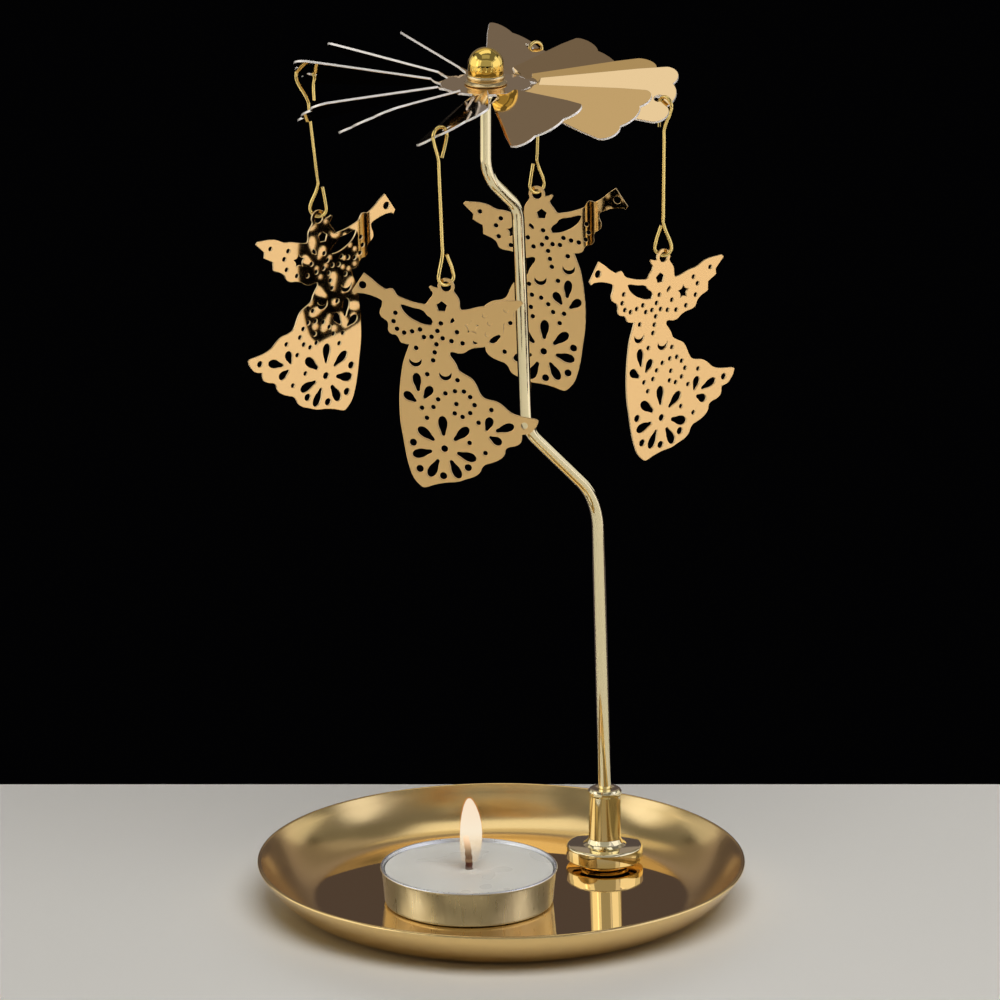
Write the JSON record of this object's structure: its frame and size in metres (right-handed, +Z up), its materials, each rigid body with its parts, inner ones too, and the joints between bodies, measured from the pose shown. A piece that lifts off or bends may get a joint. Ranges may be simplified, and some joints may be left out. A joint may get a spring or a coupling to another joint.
{
  "type": "candle carousel",
  "caption": "Candle carousel: a tealight in a round gold dish, a bent pole beside it, and a wheel of twisted vanes above that turns in the warm air and carries flat trumpet angels on wire hooks",
  "frame": {"origin": "middle of the dish's flat underside, on the surface it stands on", "axes": "+Z up, -Y towards the front, where the candle stands clear and the pole is behind it to the right; +X to the right"},
  "size_m": [0.1062, 0.1046, 0.1882],
  "materials": {
    "dish_gold": "polished floor and lip, satin wall, gold-coloured plating",
    "pale_gold": "polished, pale champagne-gold plating",
    "hub_gold": "polished, yellow-gold plating",
    "vane_gold": "mirror-polished sheet, champagne-gold plating",
    "figure_gold": "polished sheet, warm gold plating",
    "steel": "plain bright steel",
    "cup_aluminium": "thin pressed sheet, as drawn",
    "wax": "white paraffin wax, partly melted",
    "wick_cotton": "charred cotton"
  },
  "bodies": {
    "base": {"dish": "dish_gold", "pole_socket": "pale_gold", "socket_screw": "steel", "pole": "pale_gold", "pivot_needle": "steel"},
    "carousel": {"hub_cap": "hub_gold", "hub_sleeve": "hub_gold", "vane_wheel": "vane_gold"},
    "hanger 1": {"hanger_hook_1": "hub_gold"},
    "figure 1": {"angel_1": "figure_gold"},
    "hanger 2": {"hanger_hook_2": "hub_gold"},
    "figure 2": {"angel_2": "figure_gold"},
    "hanger 3": {"hanger_hook_3": "hub_gold"},
    "figure 3": {"angel_3": "figure_gold"},
    "hanger 4": {"hanger_hook_4": "hub_gold"},
    "figure 4": {"angel_4": "figure_gold"},
    "tealight": {"tealight_cup": "cup_aluminium", "candle_wax": "wax", "wick": "wick_cotton", "wick_sustainer": "steel"}
  },
  "joints": [
    {"name": "carousel spin", "type": "hinge", "parent": "base", "child": "carousel", "pos_m": [-0.00324, -0.00007, 0.18], "axis": [0, 0, 1], "continuous": true},
    {"name": "hanger swing 1", "type": "hinge", "parent": "carousel", "child": "hanger 1", "pos_m": [-0.04044, 0.00826, 0.18065], "axis": [0.749, 0.6626, 0], "range_deg": [-8, 18]},
    {"name": "figure swing 1", "type": "hinge", "parent": "hanger 1", "child": "figure 1", "pos_m": [-0.03871, 0.00927, 0.14921], "axis": [0.5835, -0.8121, 0], "range_deg": [-15, 15]},
    {"name": "hanger swing 2", "type": "hinge", "parent": "carousel", "child": "hanger 2", "pos_m": [-0.01189, -0.03721, 0.17952], "axis": [-0.6626, 0.749, 0], "range_deg": [-8, 18]},
    {"name": "figure swing 2", "type": "hinge", "parent": "hanger 2", "child": "figure 2", "pos_m": [-0.0114, -0.03716, 0.14669], "axis": [0.2267, 0.974, 0], "range_deg": [-15, 15]},
    {"name": "hanger swing 3", "type": "hinge", "parent": "carousel", "child": "hanger 3", "pos_m": [0.00751, 0.03749, 0.1794], "axis": [0.6626, -0.749, 0], "range_deg": [-8, 18]},
    {"name": "figure swing 3", "type": "hinge", "parent": "hanger 3", "child": "figure 3", "pos_m": [0.00768, 0.03721, 0.14724], "axis": [-0.247, -0.969, 0], "range_deg": [-15, 15]},
    {"name": "hanger swing 4", "type": "hinge", "parent": "carousel", "child": "hanger 4", "pos_m": [0.03359, -0.00999, 0.17919], "axis": [-0.749, -0.6626, 0], "range_deg": [-8, 18]},
    {"name": "figure swing 4", "type": "hinge", "parent": "hanger 4", "child": "figure 4", "pos_m": [0.03395, -0.00914, 0.14556], "axis": [-0.6266, 0.7793, 0], "range_deg": [-15, 15]},
    {"name": "tealight lift", "type": "slide", "parent": "base", "child": "tealight", "axis": [0, 0, 1], "range_m": [0, 0.03]}
  ]
}
